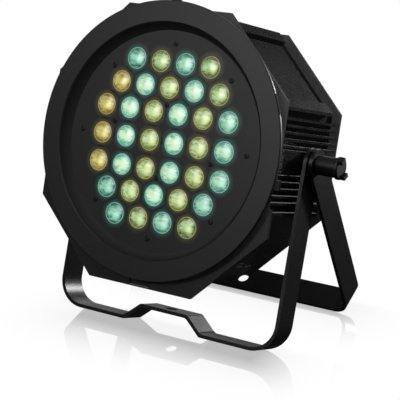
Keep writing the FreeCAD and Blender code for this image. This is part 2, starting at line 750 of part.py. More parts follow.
def cut_vents(body):
    """Slots through the top and bottom walls let the hot air out."""
    vents = Outline(body, "XY_Plane", -(d.body_apothem + CUT_MARGIN))
    half = d.vent_width / 2
    for step in range(-VENTS_EACH_SIDE, VENTS_EACH_SIDE + 1):
        centre = d.vent_pitch * step
        vents.rectangle(centre - half, centre + half, d.vent_front, d.vent_front + d.vent_length)
    pocket(body, vents, (d.body_apothem + CUT_MARGIN) * 2)


def cover_screw_places():
    return circle_spots(d.cover_screw_circle, HALF_OCTANT, 8)


def add_cover_bosses(body):
    start = d.body_length - d.cover_boss_length
    bosses = Outline(body, "XZ_Plane", start).circles(cover_screw_places(), d.cover_boss_radius)
    pad(body, bosses, d.cover_boss_length)
    holes = Outline(body, "XZ_Plane", start + d.cover_boss_floor)
    holes.circles(cover_screw_places(), d.screw_radius)
    pocket(body, holes, d.cover_boss_length)


def drill_front_rim(body):
    places = flange_screw_places() + clip_screw_places()
    holes = Outline(body, "XZ_Plane", -CUT_MARGIN).circles(places, d.screw_radius)
    pocket(body, holes, CUT_MARGIN + d.flange_screw_grip)


# ---------------------------------------------------------------- rear cover

def button_places():
    return [(d.button_pitch * step, d.button_row) for step in BUTTON_STEPS]


def socket_places():
    return [(-d.socket_side, -d.socket_drop), (d.socket_side, -d.socket_drop)]


def socket_screw_places():
    places = []
    for x, z in socket_places():
        places.append((x - d.socket_screw_x, z + d.socket_screw_z))
        places.append((x + d.socket_screw_x, z - d.socket_screw_z))
    return places


def make_rear_cover():
    body = new_body("rear_cover")
    face = d.body_length
    pad(body, Outline(body, "XZ_Plane", face).octagon(d.body_apothem), d.cover_thickness)
    lip = Outline(body, "XZ_Plane", face - d.cover_lip).circle(0, 0, d.cover_lip_apothem)
    lip.circle(0, 0, d.cover_lip_inner)
    pad(body, lip, d.cover_lip)
    openings = Outline(body, "XZ_Plane", face - d.cover_lip - CUT_MARGIN)
    high = d.display_height + d.display_half_height
    low = d.display_height - d.display_half_height
    openings.rectangle(-d.display_half_width, d.display_half_width, low, high)
    openings.circles(button_places(), d.button_hole + d.button_gap)
    openings.circles(socket_places(), d.socket_barrel + d.panel_gap)
    drop = d.inlet_drop
    openings.rectangle(-d.inlet_half_width, d.inlet_half_width, -drop - d.inlet_half_height,
                       d.inlet_half_height - drop)
    openings.circle(d.fuse_side, -d.fuse_drop, d.fuse_holder_radius + d.panel_gap)
    for side in (-1, 1):
        for step in range(PANEL_VENTS):
            centre = (d.panel_vent_near + d.panel_vent_pitch * step) * side
            half = d.vent_width / 2
            openings.rectangle(centre - half, centre + half, -d.panel_vent_half, d.panel_vent_half)
    pocket(body, openings, d.cover_lip + d.cover_thickness + 2 * CUT_MARGIN)
    start = face - CUT_MARGIN
    holes = Outline(body, "XZ_Plane", start)
    holes.circles(cover_screw_places() + socket_screw_places(), d.screw_hole)
    holes.circles([(x, -drop) for x in both_sides(d.inlet_screw)], d.screw_hole)
    holes.circles([(x, d.eye_height) for x in both_sides(d.eye_screw)], d.screw_hole)
    pocket(body, holes, d.cover_thickness + 2 * CUT_MARGIN)
    node("rear_cover", body)
    back = face + d.cover_thickness
    frames = rear_facing(cover_screw_places(), back)
    node("rear_cover_screws", group(screw(d.cover_screw_length), frames))


def make_display():
    back = d.body_length + d.cover_thickness
    wide = d.display_half_width
    tall = d.display_half_height
    middle = d.display_height
    rim = d.window_rim
    pane = fuse(
        box(-wide, wide, d.body_length, back - d.window_inset, middle - tall, middle + tall),
        box(-wide - rim, wide + rim, d.body_length - d.window_sheet, d.body_length,
            middle - tall - rim, middle + tall + rim),
    )
    node("display_window", pane)
    board_back = d.control_front + d.board_thickness
    wide = wide - d.module_inset
    tall = tall - d.module_margin
    module = box(-wide, wide, board_back, d.body_length - d.window_sheet - d.module_gap,
                 middle - tall, middle + tall)
    pins = [
        cylinder("Y", d.module_pin_radius, d.module_pin_length, x=x,
                 y=board_back - d.module_pin_grip, z=middle + side)
        for x, side in MODULE_PINS
    ]
    node("display_module", fuse(module, *pins))


def control_post_places():
    heights = (d.control_post_low, d.control_post_high)
    return [(x, z) for x in both_sides(d.control_post_side) for z in heights]


def make_control_board():
    back = d.control_front + d.board_thickness
    board = box(-d.control_half_width, d.control_half_width, d.control_front, back,
                d.control_low, d.control_high)
    display_pins = [
        cylinder("Y", d.module_pin_hole, d.board_thickness + 2 * CUT_MARGIN, x=x,
                 y=d.control_front - CUT_MARGIN, z=d.display_height + side)
        for x, side in MODULE_PINS
    ]
    node("control_board", cut(board, *display_pins))
    post = cylinder("Y", d.control_post_radius, d.body_length - back, y=back)
    places = [(x, as_size(0), z) for x, z in control_post_places()]
    node("control_posts", group(post, spots(places)))
    half = d.switch_half
    switch = fuse(
        box(-half, half, back, back + d.switch_height, -half, half),
        cylinder("Y", d.switch_stem, d.button_back - back - d.switch_gap, y=back),
    )
    places = [(x, as_size(0), z) for x, z in button_places()]
    node("key_switches", group(switch, spots(places)))
    side, rise, half = d.chip_side, d.chip_rise, d.chip_half
    chip = box(side - half, side + half, d.control_front - d.chip_height, d.control_front,
               rise - half, rise + half)
    node("control_chip", single(chip))


def make_buttons():
    names = ("enter_button", "up_button", "down_button", "menu_button")
    for name, (x, z) in zip(names, button_places()):
        edge = d.button_edge
        shoulder = d.button_face - edge
        button = fuse(
            cylinder("Y", d.button_flange, d.button_flange_length, x=x, y=d.button_back, z=z),
            cylinder("Y", d.button_radius, shoulder - d.button_back, x=x, y=d.button_back, z=z),
            cone("Y", d.button_radius, d.button_radius - edge, edge, x=x, y=shoulder, z=z),
        )
        node(name, button)


def socket_shell(x, z):
    """Square flange and round barrel of a panel-mount three-pin socket."""
    face = d.body_length + d.cover_thickness
    front = face + d.socket_flange - d.socket_depth - d.socket_bottom
    shell = fuse(
        box(x - d.socket_half_width, x + d.socket_half_width, face, face + d.socket_flange,
            z - d.socket_half_height, z + d.socket_half_height),
        cylinder("Y", d.socket_barrel, d.socket_depth + d.socket_bottom, x=x, y=front, z=z),
    )
    bore = cylinder("Y", d.socket_bore, d.socket_depth + CUT_MARGIN, x=x, y=front + d.socket_bottom, z=z)
    screw_holes = [
        cylinder("Y", d.screw_hole, d.panel_drill, x=x + d.socket_screw_x * side,
                 y=face - CUT_MARGIN, z=z - d.socket_screw_z * side)
        for side in (-1, 1)
    ]
    return cut(shell, bore, *screw_holes)


def pin_places(x, z):
    return [(x + u, z + v) for u, v in (polar(d.pin_circle, a) for a in (0, 180, 270))]


def make_sockets():
    face = d.body_length + d.cover_thickness
    bottom = face + d.socket_flange - d.socket_depth
    (in_x, in_z), (out_x, out_z) = socket_places()
    node("data_in_socket", socket_shell(in_x, in_z))
    pin = fuse(
        cylinder("Y", d.pin_radius, d.pin_length - d.pin_tip),
        cone("Y", d.pin_radius, d.pin_tip_radius, d.pin_tip, y=d.pin_length - d.pin_tip),
    )
    places = [(x, bottom, z) for x, z in pin_places(in_x, in_z)]
    node("data_in_pins", group(pin, spots(places)))
    latch_slot = latch_shape(out_x, out_z, d.latch_gap, d.latch_travel)
    node("data_out_socket", cut(socket_shell(out_x, out_z), latch_slot))
    insert = cylinder("Y", d.insert_radius, d.insert_length, x=out_x, y=bottom, z=out_z)
    holes = [
        cylinder("Y", d.pin_radius + d.pin_hole_gap, d.insert_length, x=x, y=bottom + CUT_MARGIN, z=z)
        for x, z in pin_places(out_x, out_z)
    ]
    node("data_out_insert", cut(insert, *holes))
    node("data_out_latch", fuse(latch_shape(out_x, out_z, 0, 0), latch_tip(out_x, out_z)))
    frames = rear_facing(socket_screw_places(), face + d.socket_flange)
    node("socket_screws", group(screw(d.panel_screw_length), frames))


def latch_shape(x, z, room, travel):
    """Release tab at the top of the outgoing socket's mouth, or its slot when given room."""
    face = d.body_length + d.cover_thickness
    half = d.latch_half + room
    return box(x - half, x + half, face - d.latch_depth - travel, face + d.latch_stand + room,
               z + d.latch_low - room, z + d.latch_high + room)


def latch_tip(x, z):
    """Raised grip on the face of the release tab."""
    face = d.body_length + d.cover_thickness + d.latch_stand
    half = d.latch_half / 2
    return box(x - half, x + half, face - OVERLAP, face + d.grip_rise,
               z + d.latch_low + d.grip_margin, z + d.latch_high - d.grip_margin)


def make_mains_inlet():
    face = d.body_length + d.cover_thickness
    drop = d.inlet_drop
    back = face + d.socket_flange
    front = back - d.inlet_depth - d.inlet_bottom
    wide = d.inlet_half_width - d.inlet_gap
    tall = d.inlet_half_height - d.inlet_gap
    shell = fuse(
        box(-d.inlet_flange_half, d.inlet_flange_half, face, back,
            -drop - d.inlet_flange_height, d.inlet_flange_height - drop),
        box(-wide, wide, front, back, -drop - tall, tall - drop),
    )
    mouth = box(-d.inlet_mouth_width, d.inlet_mouth_width, front + d.inlet_bottom, back + CUT_MARGIN,
                -drop - d.inlet_mouth_height, d.inlet_mouth_height - drop)
    screw_holes = [
        cylinder("Y", d.screw_hole, d.panel_drill, x=x, y=face - CUT_MARGIN, z=-drop)
        for x in both_sides(d.inlet_screw)
    ]
    node("mains_inlet", cut(shell, mouth, *screw_holes))
    blade = box(d.blade_height * -0.5, d.blade_height * 0.5, 0, d.blade_length,
                d.blade_width * -0.5, d.blade_width * 0.5)
    low = -drop - d.blade_drop
    places = [(-d.blade_pitch, low), (as_size(0), d.blade_rise - drop), (d.blade_pitch, low)]
    frames = spots([(x, front + d.inlet_bottom, z) for x, z in places])
    node("mains_pins", group(blade, frames))
    screw_spots = [(x, -drop) for x in both_sides(d.inlet_screw)]
    node("inlet_screws", group(screw(d.panel_screw_length), rear_facing(screw_spots, back)))


def make_fuse_holder():
    x = d.fuse_side
    z = -d.fuse_drop
    face = d.body_length + d.cover_thickness
    front = face - d.fuse_holder_length
    rim_face = face + d.fuse_rim
    holder = fuse(
        cylinder("Y", d.fuse_holder_radius, d.fuse_holder_length, x=x, y=front, z=z),
        cylinder("Y", d.fuse_rim_radius, d.fuse_rim, x=x, y=face, z=z),
    )
    bore = cylinder("Y", d.fuse_bore, d.fuse_holder_length + CUT_MARGIN, x=x, y=front + d.fuse_floor, z=z)
    fuse_end = front + d.fuse_start
    far_ferrule = fuse_end + d.fuse_length - d.ferrule
    node("fuse_holder", cut(holder, bore))
    node("glass_fuse", fuse(
        cylinder("Y", d.fuse_radius, d.fuse_length, x=x, y=fuse_end, z=z),
        cylinder("Y", d.ferrule_radius, d.ferrule, x=x, y=fuse_end, z=z),
        cylinder("Y", d.ferrule_radius, d.ferrule, x=x, y=far_ferrule, z=z),
    ))
    seat = rim_face + d.fuse_cap_gap
    cap = fuse(
        cylinder("Y", d.fuse_stem, d.fuse_stem_length, x=x, y=seat - d.fuse_stem_length, z=z),
        cylinder("Y", d.fuse_cap_radius, d.fuse_cap, x=x, y=seat, z=z),
    )
    end = seat + d.fuse_cap
    slot = box(x - d.fuse_cap_radius, x + d.fuse_cap_radius, end - d.coin_slot, end + CUT_MARGIN,
               z - d.coin_slot_half, z + d.coin_slot_half)
    node("fuse_cap", cut(cap, slot))


def make_safety_eye():
    face = d.body_length + d.cover_thickness
    high = d.eye_height
    plate = box(-d.eye_plate_half, d.eye_plate_half, face, face + d.eye_plate,
                high - d.eye_plate_height, high + d.eye_plate_height)
    loop = DOC.addObject("Part::Torus", "loop")
    bind(loop, "Radius1", d.eye_major)
    bind(loop, "Radius2", d.eye_wire)
    loop.Angle3 = 180
    loop.setExpression("Placement", local_frame(0, face + d.eye_plate - d.eye_sink, high, AXIS_TURN["Z"]))
    holes = [
        cylinder("Y", d.screw_hole, d.panel_drill, x=x, y=face - CUT_MARGIN, z=high)
        for x in both_sides(d.eye_screw)
    ]
    node("safety_eye", cut(fuse(plate, loop), *holes))
    places = [(x, high) for x in both_sides(d.eye_screw)]
    node("eye_screws", group(screw(d.panel_screw_length), rear_facing(places, face + d.eye_plate)))


# ---------------------------------------------------------------- power supply

def make_power_board():
    front = d.power_front
    back = front + d.board_thickness
    wide = d.power_half_width
    tall = d.power_half_height
    board = box(-wide, wide, front, back, -tall, tall)
    node("power_board", single(board))
    start = d.board_front + d.board_thickness + d.sink_base + d.sink_fin_height
    post = cylinder("Y", d.power_post, front - start, y=start)
    places = [(x, as_size(0), z) for x, z in power_post_places()]
    node("power_posts", group(post, spots(places)))
    wide = d.transformer_width / 2
    tall = d.transformer_height / 2
    deep = d.transformer_depth
    middle = d.transformer_x
    narrow = wide - d.coil_inset
    core = fuse(
        box(middle - wide, middle + wide, back, back + deep, -tall, tall),
        box(middle - narrow, middle + narrow, back + d.coil_foot, back + deep - d.coil_top,
            -tall - d.coil_reach, tall + d.coil_reach),
    )
    node("transformer", core)
    radius = d.capacitor_radius
    edge = d.capacitor_edge
    straight = d.capacitor_length - edge
    capacitor = fuse(
        cylinder("Y", radius, straight, y=back),
        cone("Y", radius, radius - edge, edge, y=back + straight),
    )
    places = [
        (d.capacitor_x, as_size(0), -d.capacitor_drop),
        (d.second_capacitor_x, as_size(0), d.second_capacitor_rise),
    ]
    node("bulk_capacitors", group(capacitor, spots(places)))
    package = box(-d.transistor_half, d.transistor_half, back, back + d.transistor_height,
                  -d.transistor_half_depth, d.transistor_half_depth)
    row = [d.transistor_x + d.transistor_pitch * step for step in range(TRANSISTORS)]
    places = [(x, as_size(0), -d.transistor_drop) for x in row]
    node("driver_transistors", group(package, spots(places)))


FORWARD = FreeCAD.Vector(0, -1, 0)
REARWARD = FreeCAD.Vector(0, 1, 0)


def lead(points, leaves, arrives, radius):
    """A round wire along a smooth curve that meets the faces at both its ends squarely."""
    curve = Part.BSplineCurve()
    corners = [FreeCAD.Vector(*point) for point in points]
    curve.interpolate(Points=corners, InitialTangent=leaves * LEAD_PULL, FinalTangent=arrives * LEAD_PULL)
    path = Part.Wire([curve.toShape()])
    ring = Part.Wire([Part.makeCircle(radius, corners[0], leaves)])
    return path.makePipeShell([ring], True, False)


def make_leads():
    """The wiring harness: each lead is whole and runs inside the body."""
    board_back = (d.power_front + d.board_thickness).number + LEAD_GAP
    inlet = -d.inlet_drop.number
    face = d.body_length + d.cover_thickness + d.socket_flange
    inlet_front = (face - d.inlet_depth - d.inlet_bottom).number - LEAD_GAP
    socket_front = (face - d.socket_depth - d.socket_bottom).number - LEAD_GAP
    sink_back = (d.board_front + d.board_thickness + d.sink_base).number + LEAD_GAP
    control_front = d.control_front.number - LEAD_GAP
    routes = {
        "mains_leads": (FORWARD, FORWARD, [
            [(-7, inlet_front, inlet), (-12, 72, inlet + 6), (-24, 60, -44), (-26, board_back, -30)],
            [(7, inlet_front, inlet), (4, 72, inlet + 6), (-12, 60, -46), (-16, board_back, -30)],
        ]),
        "led_leads": (REARWARD, FORWARD, [
            [(44, board_back, 10), (62, 60, 14), (79, sink_back, 18)],
            [(44, board_back, 2), (62, 60, 5), (79, sink_back, 8)],
        ]),
        "data_leads": (FORWARD, REARWARD, [
            [(-36, socket_front, -22), (-37, 78, -12), (-34, 78, 8), (-32, control_front, 18)],
            [(36, socket_front, -22), (37, 78, -12), (34, 78, 8), (32, control_front, 18)],
        ]),
    }
    for name, (leaves, arrives, paths) in routes.items():
        item = DOC.addObject("Part::Feature", name)
        runs = [lead(points, leaves, arrives, d.lead_radius.number) for points in paths]
        item.Shape = Part.makeCompound(runs)
        node(name, item)


# ---------------------------------------------------------------- pivot and yokes

def mirrored_frames():
    """Right-hand copy and left-hand copy, turned half a turn about the pivot's upright."""
    return [
        local_frame(0, 0, 0, AXIS_TURN["Z"]),
        local_frame(0, 0, 0, "rotation(vector(0; 0; 1); 180)"),
    ]


def make_pivot_bolts():
    head = DOC.addObject("Part::Prism", "bolt_head")
    head.Polygon = 6
    bind(head, "Circumradius", d.bolt_head_radius)
    bind(head, "Height", d.bolt_head)
    head.setExpression("Placement", local_frame(d.boss_inner - d.bolt_head, 0, 0, AXIS_TURN["X"]))
    length = d.bolt_end - d.boss_inner + OVERLAP
    shank = cylinder("X", d.bolt_radius, length, x=d.boss_inner - OVERLAP)
    node("pivot_bolts", group(fuse(head, shank), mirrored_frames()), PIVOT_FRAME)


def washer(start, end):
    """Washer on the pivot bolt between two distances from the middle of the body."""
    bore = d.bolt_radius + d.bolt_clearance
    return cut(
        cylinder("X", d.washer_radius, end - start, x=start),
        cylinder("X", bore, end - start + 2 * CUT_MARGIN, x=start - CUT_MARGIN),
    )


def make_washers():
    gap = d.washer_gap
    inner = washer(d.body_apothem, d.front_half_span - d.bar_thickness - gap)
    node("inner_washers", group(inner, mirrored_frames()), PIVOT_FRAME)
    middle = washer(d.front_half_span, d.rear_half_span - d.bar_thickness - gap)
    node("middle_washers", group(middle, mirrored_frames()), yoke_frame(-d.front_angle))


def yoke_frame(angle):
    """Frame at the pivot with an arm pointing straight down, swung by angle about X."""
    untilt = (as_size(angle) + d.head_tilt).text
    return PIVOT_FRAME + " * placement(vector(0; 0; 0); rotation(vector(1; 0; 0); %s))" % untilt


def edges_at(shape, corners):
    """Names of the edges along Y that pass through the given (x, z) corners."""
    names = []
    for index, edge in enumerate(shape.Edges, start=1):
        first, last = edge.Vertexes[0].Point, edge.Vertexes[-1].Point
        along_y = abs(first.x - last.x) + abs(first.z - last.z) < CORNER_TOLERANCE
        for x, z in corners:
            near = abs(first.x - as_size(x).number) + abs(first.z - as_size(z).number)
            if along_y and near < CORNER_TOLERANCE:
                names.append("Edge%d" % index)
    return names


def fillet(body, base, names, radius):
    feature = body.newObject("PartDesign::Fillet", "Fillet")
    feature.Base = (base, names)
    bind(feature, "Radius", radius)
    DOC.recompute()
    return feature


def with_mirror(points):
    return points + [(-x, z) for x, z in reversed(points)]


def bent_bar(name, outer, inner, bends):
    """Flat bar bent to an outline; bends maps a radius to the corners that take it."""
    body = new_body(name)
    half_width = d.bar_width / 2
    outline = Outline(body, "XZ_Plane", -half_width)
    outline.polygon(with_mirror(outer) + [(x, z) for x, z in reversed(with_mirror(inner))])
    last = pad(body, outline, d.bar_width)
    DOC.recompute()
    for radius, corners in bends:
        last = fillet(body, last, edges_at(last.Shape, corners), radius)
    return body


def rounded_ends(body, half_span):
    """The bar with both arm ends rounded about the pivot."""
    round_end = d.bar_width / 2
    reach = half_span + CUT_MARGIN
    past = round_end + CUT_MARGIN
    waste = cut(
        box(-reach, reach, -past, past, 0, past),
        cylinder("X", round_end, reach * 2 + 2 * CUT_MARGIN, x=-reach - CUT_MARGIN),
    )
    return cut(body, waste)


def drill_yoke(body, half_span, drop):
    """Pivot holes through both arms and the mounting hole in the middle of the bar."""
    reach = half_span + CUT_MARGIN
    pivot = Outline(body, "YZ_Plane", -reach).circle(0, 0, d.bolt_radius + d.bolt_clearance)
    pocket(body, pivot, reach * 2)
    middle = Outline(body, "XY_Plane", -drop - CUT_MARGIN).circle(0, 0, d.yoke_hole)
    pocket(body, middle, d.joggle_rise + d.bar_thickness + 2 * CUT_MARGIN)


def make_front_yoke():
    top = d.bar_width / 2
    thick = d.bar_thickness
    side = d.front_half_span
    drop = d.front_drop
    miter = thick * trig("tan", d.joggle_angle / 2)
    foot = d.joggle_half
    crest = foot - d.joggle_rise / trig("tan", d.joggle_angle)
    raised = d.joggle_rise - drop
    outer = [(side, top), (side, -drop), (foot, -drop), (crest, raised)]
    inner = [(side - thick, top), (side - thick, thick - drop), (foot + miter, thick - drop),
             (crest + miter, raised + thick)]
    bends = [
        (d.front_bend + thick, with_mirror(outer[1:2])),
        (d.front_bend, with_mirror(inner[1:2])),
        (d.joggle_bend, with_mirror([outer[2], inner[3]])),
        (d.joggle_bend + thick, with_mirror([inner[2], outer[3]])),
    ]
    body = bent_bar("front_yoke", outer, inner, bends)
    drill_yoke(body, side, drop)
    node("front_yoke", rounded_ends(body, side), yoke_frame(-d.front_angle))


def make_rear_yoke():
    top = d.bar_width / 2
    thick = d.bar_thickness
    side = d.rear_half_span
    drop = d.rear_drop
    outer = [(side, top), (side, -drop)]
    inner = [(side - thick, top), (side - thick, thick - drop)]
    bends = [
        (d.rear_bend + thick, with_mirror(outer[1:])),
        (d.rear_bend, with_mirror(inner[1:])),
    ]
    body = bent_bar("rear_yoke", outer, inner, bends)
    drill_yoke(body, side, drop)
    node("rear_yoke", rounded_ends(body, side), yoke_frame(d.rear_angle))


def knob_profile():
    """Half section of the knob about X, hollow for its threaded insert."""
    start, end = d.knob_start, d.knob_end
    bore = d.knob_insert_radius
    depth = start + d.knob_insert_length
    return [
        (start, bore),
        (start, d.knob_barrel),
        (d.knob_disc_start, d.knob_waist),
        (d.knob_disc_start + d.knob_chamfer, d.knob_disc),
        (end - d.knob_chamfer, d.knob_disc),
        (end, d.knob_disc - d.knob_chamfer),
        (end, as_size(0)),
        (depth, as_size(0)),
        (depth, bore),
    ]


def make_knobs():
    for name, frame in zip(("right_knob", "left_knob"), mirrored_frames()):
        body = new_body(name)
        revolve(body, Outline(body, "XZ_Plane").polygon(knob_profile()), "X_Axis")
        wings = Outline(body, "YZ_Plane", d.knob_end - OVERLAP)
        half = d.wing_width / 2
        for turn in (-d.wing_turn, as_size(180) - d.wing_turn):
            corners = []
            for radius, offset in ((d.wing_inner, -half), (d.wing_outer, -half),
                                   (d.wing_outer, half), (d.wing_inner, half)):
                y, z = polar(radius, turn)
                along_y, along_z = polar(offset, turn + 90.0)
                corners.append((y + along_y, z + along_z))
            wings.polygon(corners)
        pad(body, wings, d.wing_reach + OVERLAP)
        node(name, body, PIVOT_FRAME + " * " + frame)
        insert = new_body(name + "_insert")
        ring = Outline(insert, "YZ_Plane", d.knob_start)
        ring.circle(0, 0, d.knob_insert_radius)
        ring.circle(0, 0, d.bolt_radius + d.bolt_clearance)
        pad(insert, ring, d.knob_insert_length)
        node(name + "_insert", insert, PIVOT_FRAME + " * " + frame)


# ---------------------------------------------------------------- build and write

def build():
    make_front_ring()
    make_ring_clips()
    make_front_flange()
    make_led_plate()
    make_lenses()
    make_lens_holders()
    make_led_board()
    make_heat_sink()
    make_housing()
    make_rear_cover()
    make_display()
    make_control_board()
    make_buttons()
    make_sockets()
    make_mains_inlet()
    make_fuse_holder()
    make_safety_eye()
    make_power_board()
    make_leads()
    make_pivot_bolts()
    make_washers()
    make_front_yoke()
    make_rear_yoke()
    make_knobs()
    DOC.recompute()


def check():
    """Stop before writing anything if a feature failed or a sub-part has no valid shape."""
    for item in DOC.Objects:
        if "Invalid" in item.State or "Error" in item.State:
            raise RuntimeError("failed: %s %s" % (item.Label, item.State))
    for item in NODES:
        if item.Shape.isNull() or not item.Shape.isValid() or not item.Shape.Solids:
            raise RuntimeError("no valid solid: " + item.Label)


def write():
    os.makedirs("parts", exist_ok=True)
    for item in NODES:
        item.Shape.exportStep(os.path.join("parts", item.Label + ".step"))


build()
check()
write()
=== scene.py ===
import json
import math

import bmesh
import bpy
from mathutils import Matrix, Vector

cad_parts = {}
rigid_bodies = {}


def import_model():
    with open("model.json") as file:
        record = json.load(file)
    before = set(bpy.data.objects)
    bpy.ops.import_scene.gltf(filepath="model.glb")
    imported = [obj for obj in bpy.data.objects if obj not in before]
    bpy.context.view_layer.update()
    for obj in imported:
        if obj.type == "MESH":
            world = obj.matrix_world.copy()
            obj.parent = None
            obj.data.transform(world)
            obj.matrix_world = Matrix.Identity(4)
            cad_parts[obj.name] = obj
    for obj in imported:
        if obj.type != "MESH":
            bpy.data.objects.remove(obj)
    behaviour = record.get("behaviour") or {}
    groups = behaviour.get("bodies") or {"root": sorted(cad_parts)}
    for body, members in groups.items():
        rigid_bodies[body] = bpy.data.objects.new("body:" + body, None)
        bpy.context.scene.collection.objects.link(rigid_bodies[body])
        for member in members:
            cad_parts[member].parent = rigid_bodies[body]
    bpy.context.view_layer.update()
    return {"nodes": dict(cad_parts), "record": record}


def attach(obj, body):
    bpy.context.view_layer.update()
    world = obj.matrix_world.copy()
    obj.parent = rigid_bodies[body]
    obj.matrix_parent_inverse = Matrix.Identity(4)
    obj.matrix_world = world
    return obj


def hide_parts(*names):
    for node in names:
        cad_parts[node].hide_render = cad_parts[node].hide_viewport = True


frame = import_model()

NODES = frame["nodes"]
MM = 0.001

# The head's frame (X right, Y from the front panel to the rear cover, Z up), as part.py places it.
HEAD_TILT = math.radians(16.1)
HEAD = Matrix.Translation((0, -51.35 * MM, 166.02 * MM)) @ Matrix.Rotation(-HEAD_TILT, 4, "X")

# The lenses' rows from the top, in millimetres from the head's axis, with C for cyan and Y for amber.
LENS_PITCH = 23.1
ROW_HEIGHTS = (63.1, 43.1, 23.1, 0.0, -23.1, -43.1, -63.1)
ROW_COLOURS = ("CYCY", "YCYCY", "YCYCYC", "YCYCYC", "YCYCYC", "CYCYC", "CYCY")


# ---------------------------------------------------------------- materials

# Noise scales, in features per metre.
COAT_GRAIN = 1500.0
BROAD_GRAIN = 38.0
MOULD_GRAIN = 1400.0
MOULD_BROAD_GRAIN = 60.0
METAL_GRAIN = 900.0
WINDING_GRAIN = 2600.0
GLASS_GRAIN = 700.0
FACET_GRAIN = 420.0
TRACK_GRAIN = 260.0

# Heights of surface relief, in metres.
MOULD_RELIEF = 0.00004
METAL_RELIEF = 0.00002
BOARD_RELIEF = 0.00005
GLASS_RELIEF = 0.00001
RING_RELIEF = 0.00006
LENS_RELIEF = 0.00008
HALO_RELIEF = 0.00005

COAT_SPECULAR = 0.42
# How far the grain darkens and lightens a coat, and how far it moves its roughness.
COAT_DARK = 0.72
COAT_LIGHT = 1.35
BROAD_GLOSS = 0.015
FINE_GLOSS = 0.06

# Radii, in millimetres, between which painted shade darkens the ring's inner wall outwards, and between
# which its flat face begins.
RING_WALL_SHADE = (88.6, 93.4)
RING_FACE = (94.1, 94.5)


class Shader:
    """A Principled material with short ways to add procedural nodes."""

    def __init__(self, name, colour, roughness, **sockets):
        self.material = bpy.data.materials.new(name)
        self.material.use_nodes = True
        self.tree = self.material.node_tree
        self.shader = self.tree.nodes["Principled BSDF"]
        self.shader.inputs["Base Color"].default_value = (*colour, 1)
        self.shader.inputs["Roughness"].default_value = roughness
        for socket, value in sockets.items():
            self.shader.inputs[socket.replace("_", " ")].default_value = value
        self.position = self.node("ShaderNodeTexCoord").outputs["Object"]

    def node(self, kind, **values):
        item = self.tree.nodes.new(kind)
        for key, value in values.items():
            setattr(item, key, value)
        return item

    def link(self, source, target):
        self.tree.links.new(source, target)

    def head_radius(self):
        """Distance from the head's optical axis, in metres."""
        place = self.node("ShaderNodeMapping", vector_type="TEXTURE")
        place.inputs["Location"].default_value = HEAD.translation
        place.inputs["Rotation"].default_value = (-HEAD_TILT, 0.0, 0.0)
        self.link(self.position, place.inputs["Vector"])
        flat = self.node("ShaderNodeVectorMath", operation="MULTIPLY")
        flat.inputs[1].default_value = (1.0, 0.0, 1.0)
        self.link(place.outputs["Vector"], flat.inputs[0])
        length = self.node("ShaderNodeVectorMath", operation="LENGTH")
        self.link(flat.outputs["Vector"], length.inputs[0])
        return length.outputs["Value"]

    def noise(self, scale, detail, rough=0.6):
        """Noise with features about 1/scale metres across."""
        item = self.node("ShaderNodeTexNoise")
        item.inputs["Scale"].default_value = scale
        item.inputs["Detail"].default_value = detail
        item.inputs["Roughness"].default_value = rough
        self.link(self.position, item.inputs["Vector"])
        return item.outputs["Fac"]

    def streaks(self, scale, stretch):
        """Noise drawn out along X by that factor."""
        squeeze = self.node("ShaderNodeVectorMath", operation="MULTIPLY")
        squeeze.inputs[1].default_value = (1.0 / stretch, 1.0, 1.0)
        self.link(self.position, squeeze.inputs[0])
        item = self.node("ShaderNodeTexNoise")
        item.inputs["Scale"].default_value = scale
        item.inputs["Detail"].default_value = 2.0
        item.inputs["Distortion"].default_value = 0.6
        self.link(squeeze.outputs["Vector"], item.inputs["Vector"])
        return item.outputs["Fac"]

    def cells(self, scale):
        """Distance to the middle of the nearest cell, with cells about 1/scale metres across."""
        item = self.node("ShaderNodeTexVoronoi")
        item.inputs["Scale"].default_value = scale
        self.link(self.position, item.inputs["Vector"])
        return item.outputs["Distance"]

    def math(self, operation, a, b):
        """One step of arithmetic on two sockets or numbers."""
        item = self.node("ShaderNodeMath", operation=operation)
        for socket, value in zip(item.inputs, (a, b)):
            if isinstance(value, (int, float)):
                socket.default_value = value
            else:
                self.link(value, socket)
        return item.outputs[0]

    def spread(self, source, low, high, start=0.35, end=0.65):
        """Map a 0..1 pattern to low..high."""
        item = self.node("ShaderNodeMapRange")
        item.inputs["From Min"].default_value = start
        item.inputs["From Max"].default_value = end
        item.inputs["To Min"].default_value = low
        item.inputs["To Max"].default_value = high
        self.link(source, item.inputs["Value"])
        return item.outputs["Result"]

    def tint(self, source, dark, light):
        """Colour from dark to light by a 0..1 pattern."""
        item = self.node("ShaderNodeMix", data_type="RGBA")
        item.inputs[6].default_value = (*dark, 1)
        item.inputs[7].default_value = (*light, 1)
        self.link(source, item.inputs[0])
        self.link(item.outputs[2], self.shader.inputs["Base Color"])

    def roughen(self, source):
        self.link(source, self.shader.inputs["Roughness"])

    def bump(self, source, height):
        """Surface relief of that height in metres."""
        item = self.node("ShaderNodeBump")
        item.inputs["Strength"].default_value = 1.0
        item.inputs["Distance"].default_value = height
        self.link(source, item.inputs["Height"])
        self.link(item.outputs["Normal"], self.shader.inputs["Normal"])


def scaled(colour, factor):
    """The colour times factor, with no channel over 1."""
    return tuple(min(1.0, channel * factor) for channel in colour)


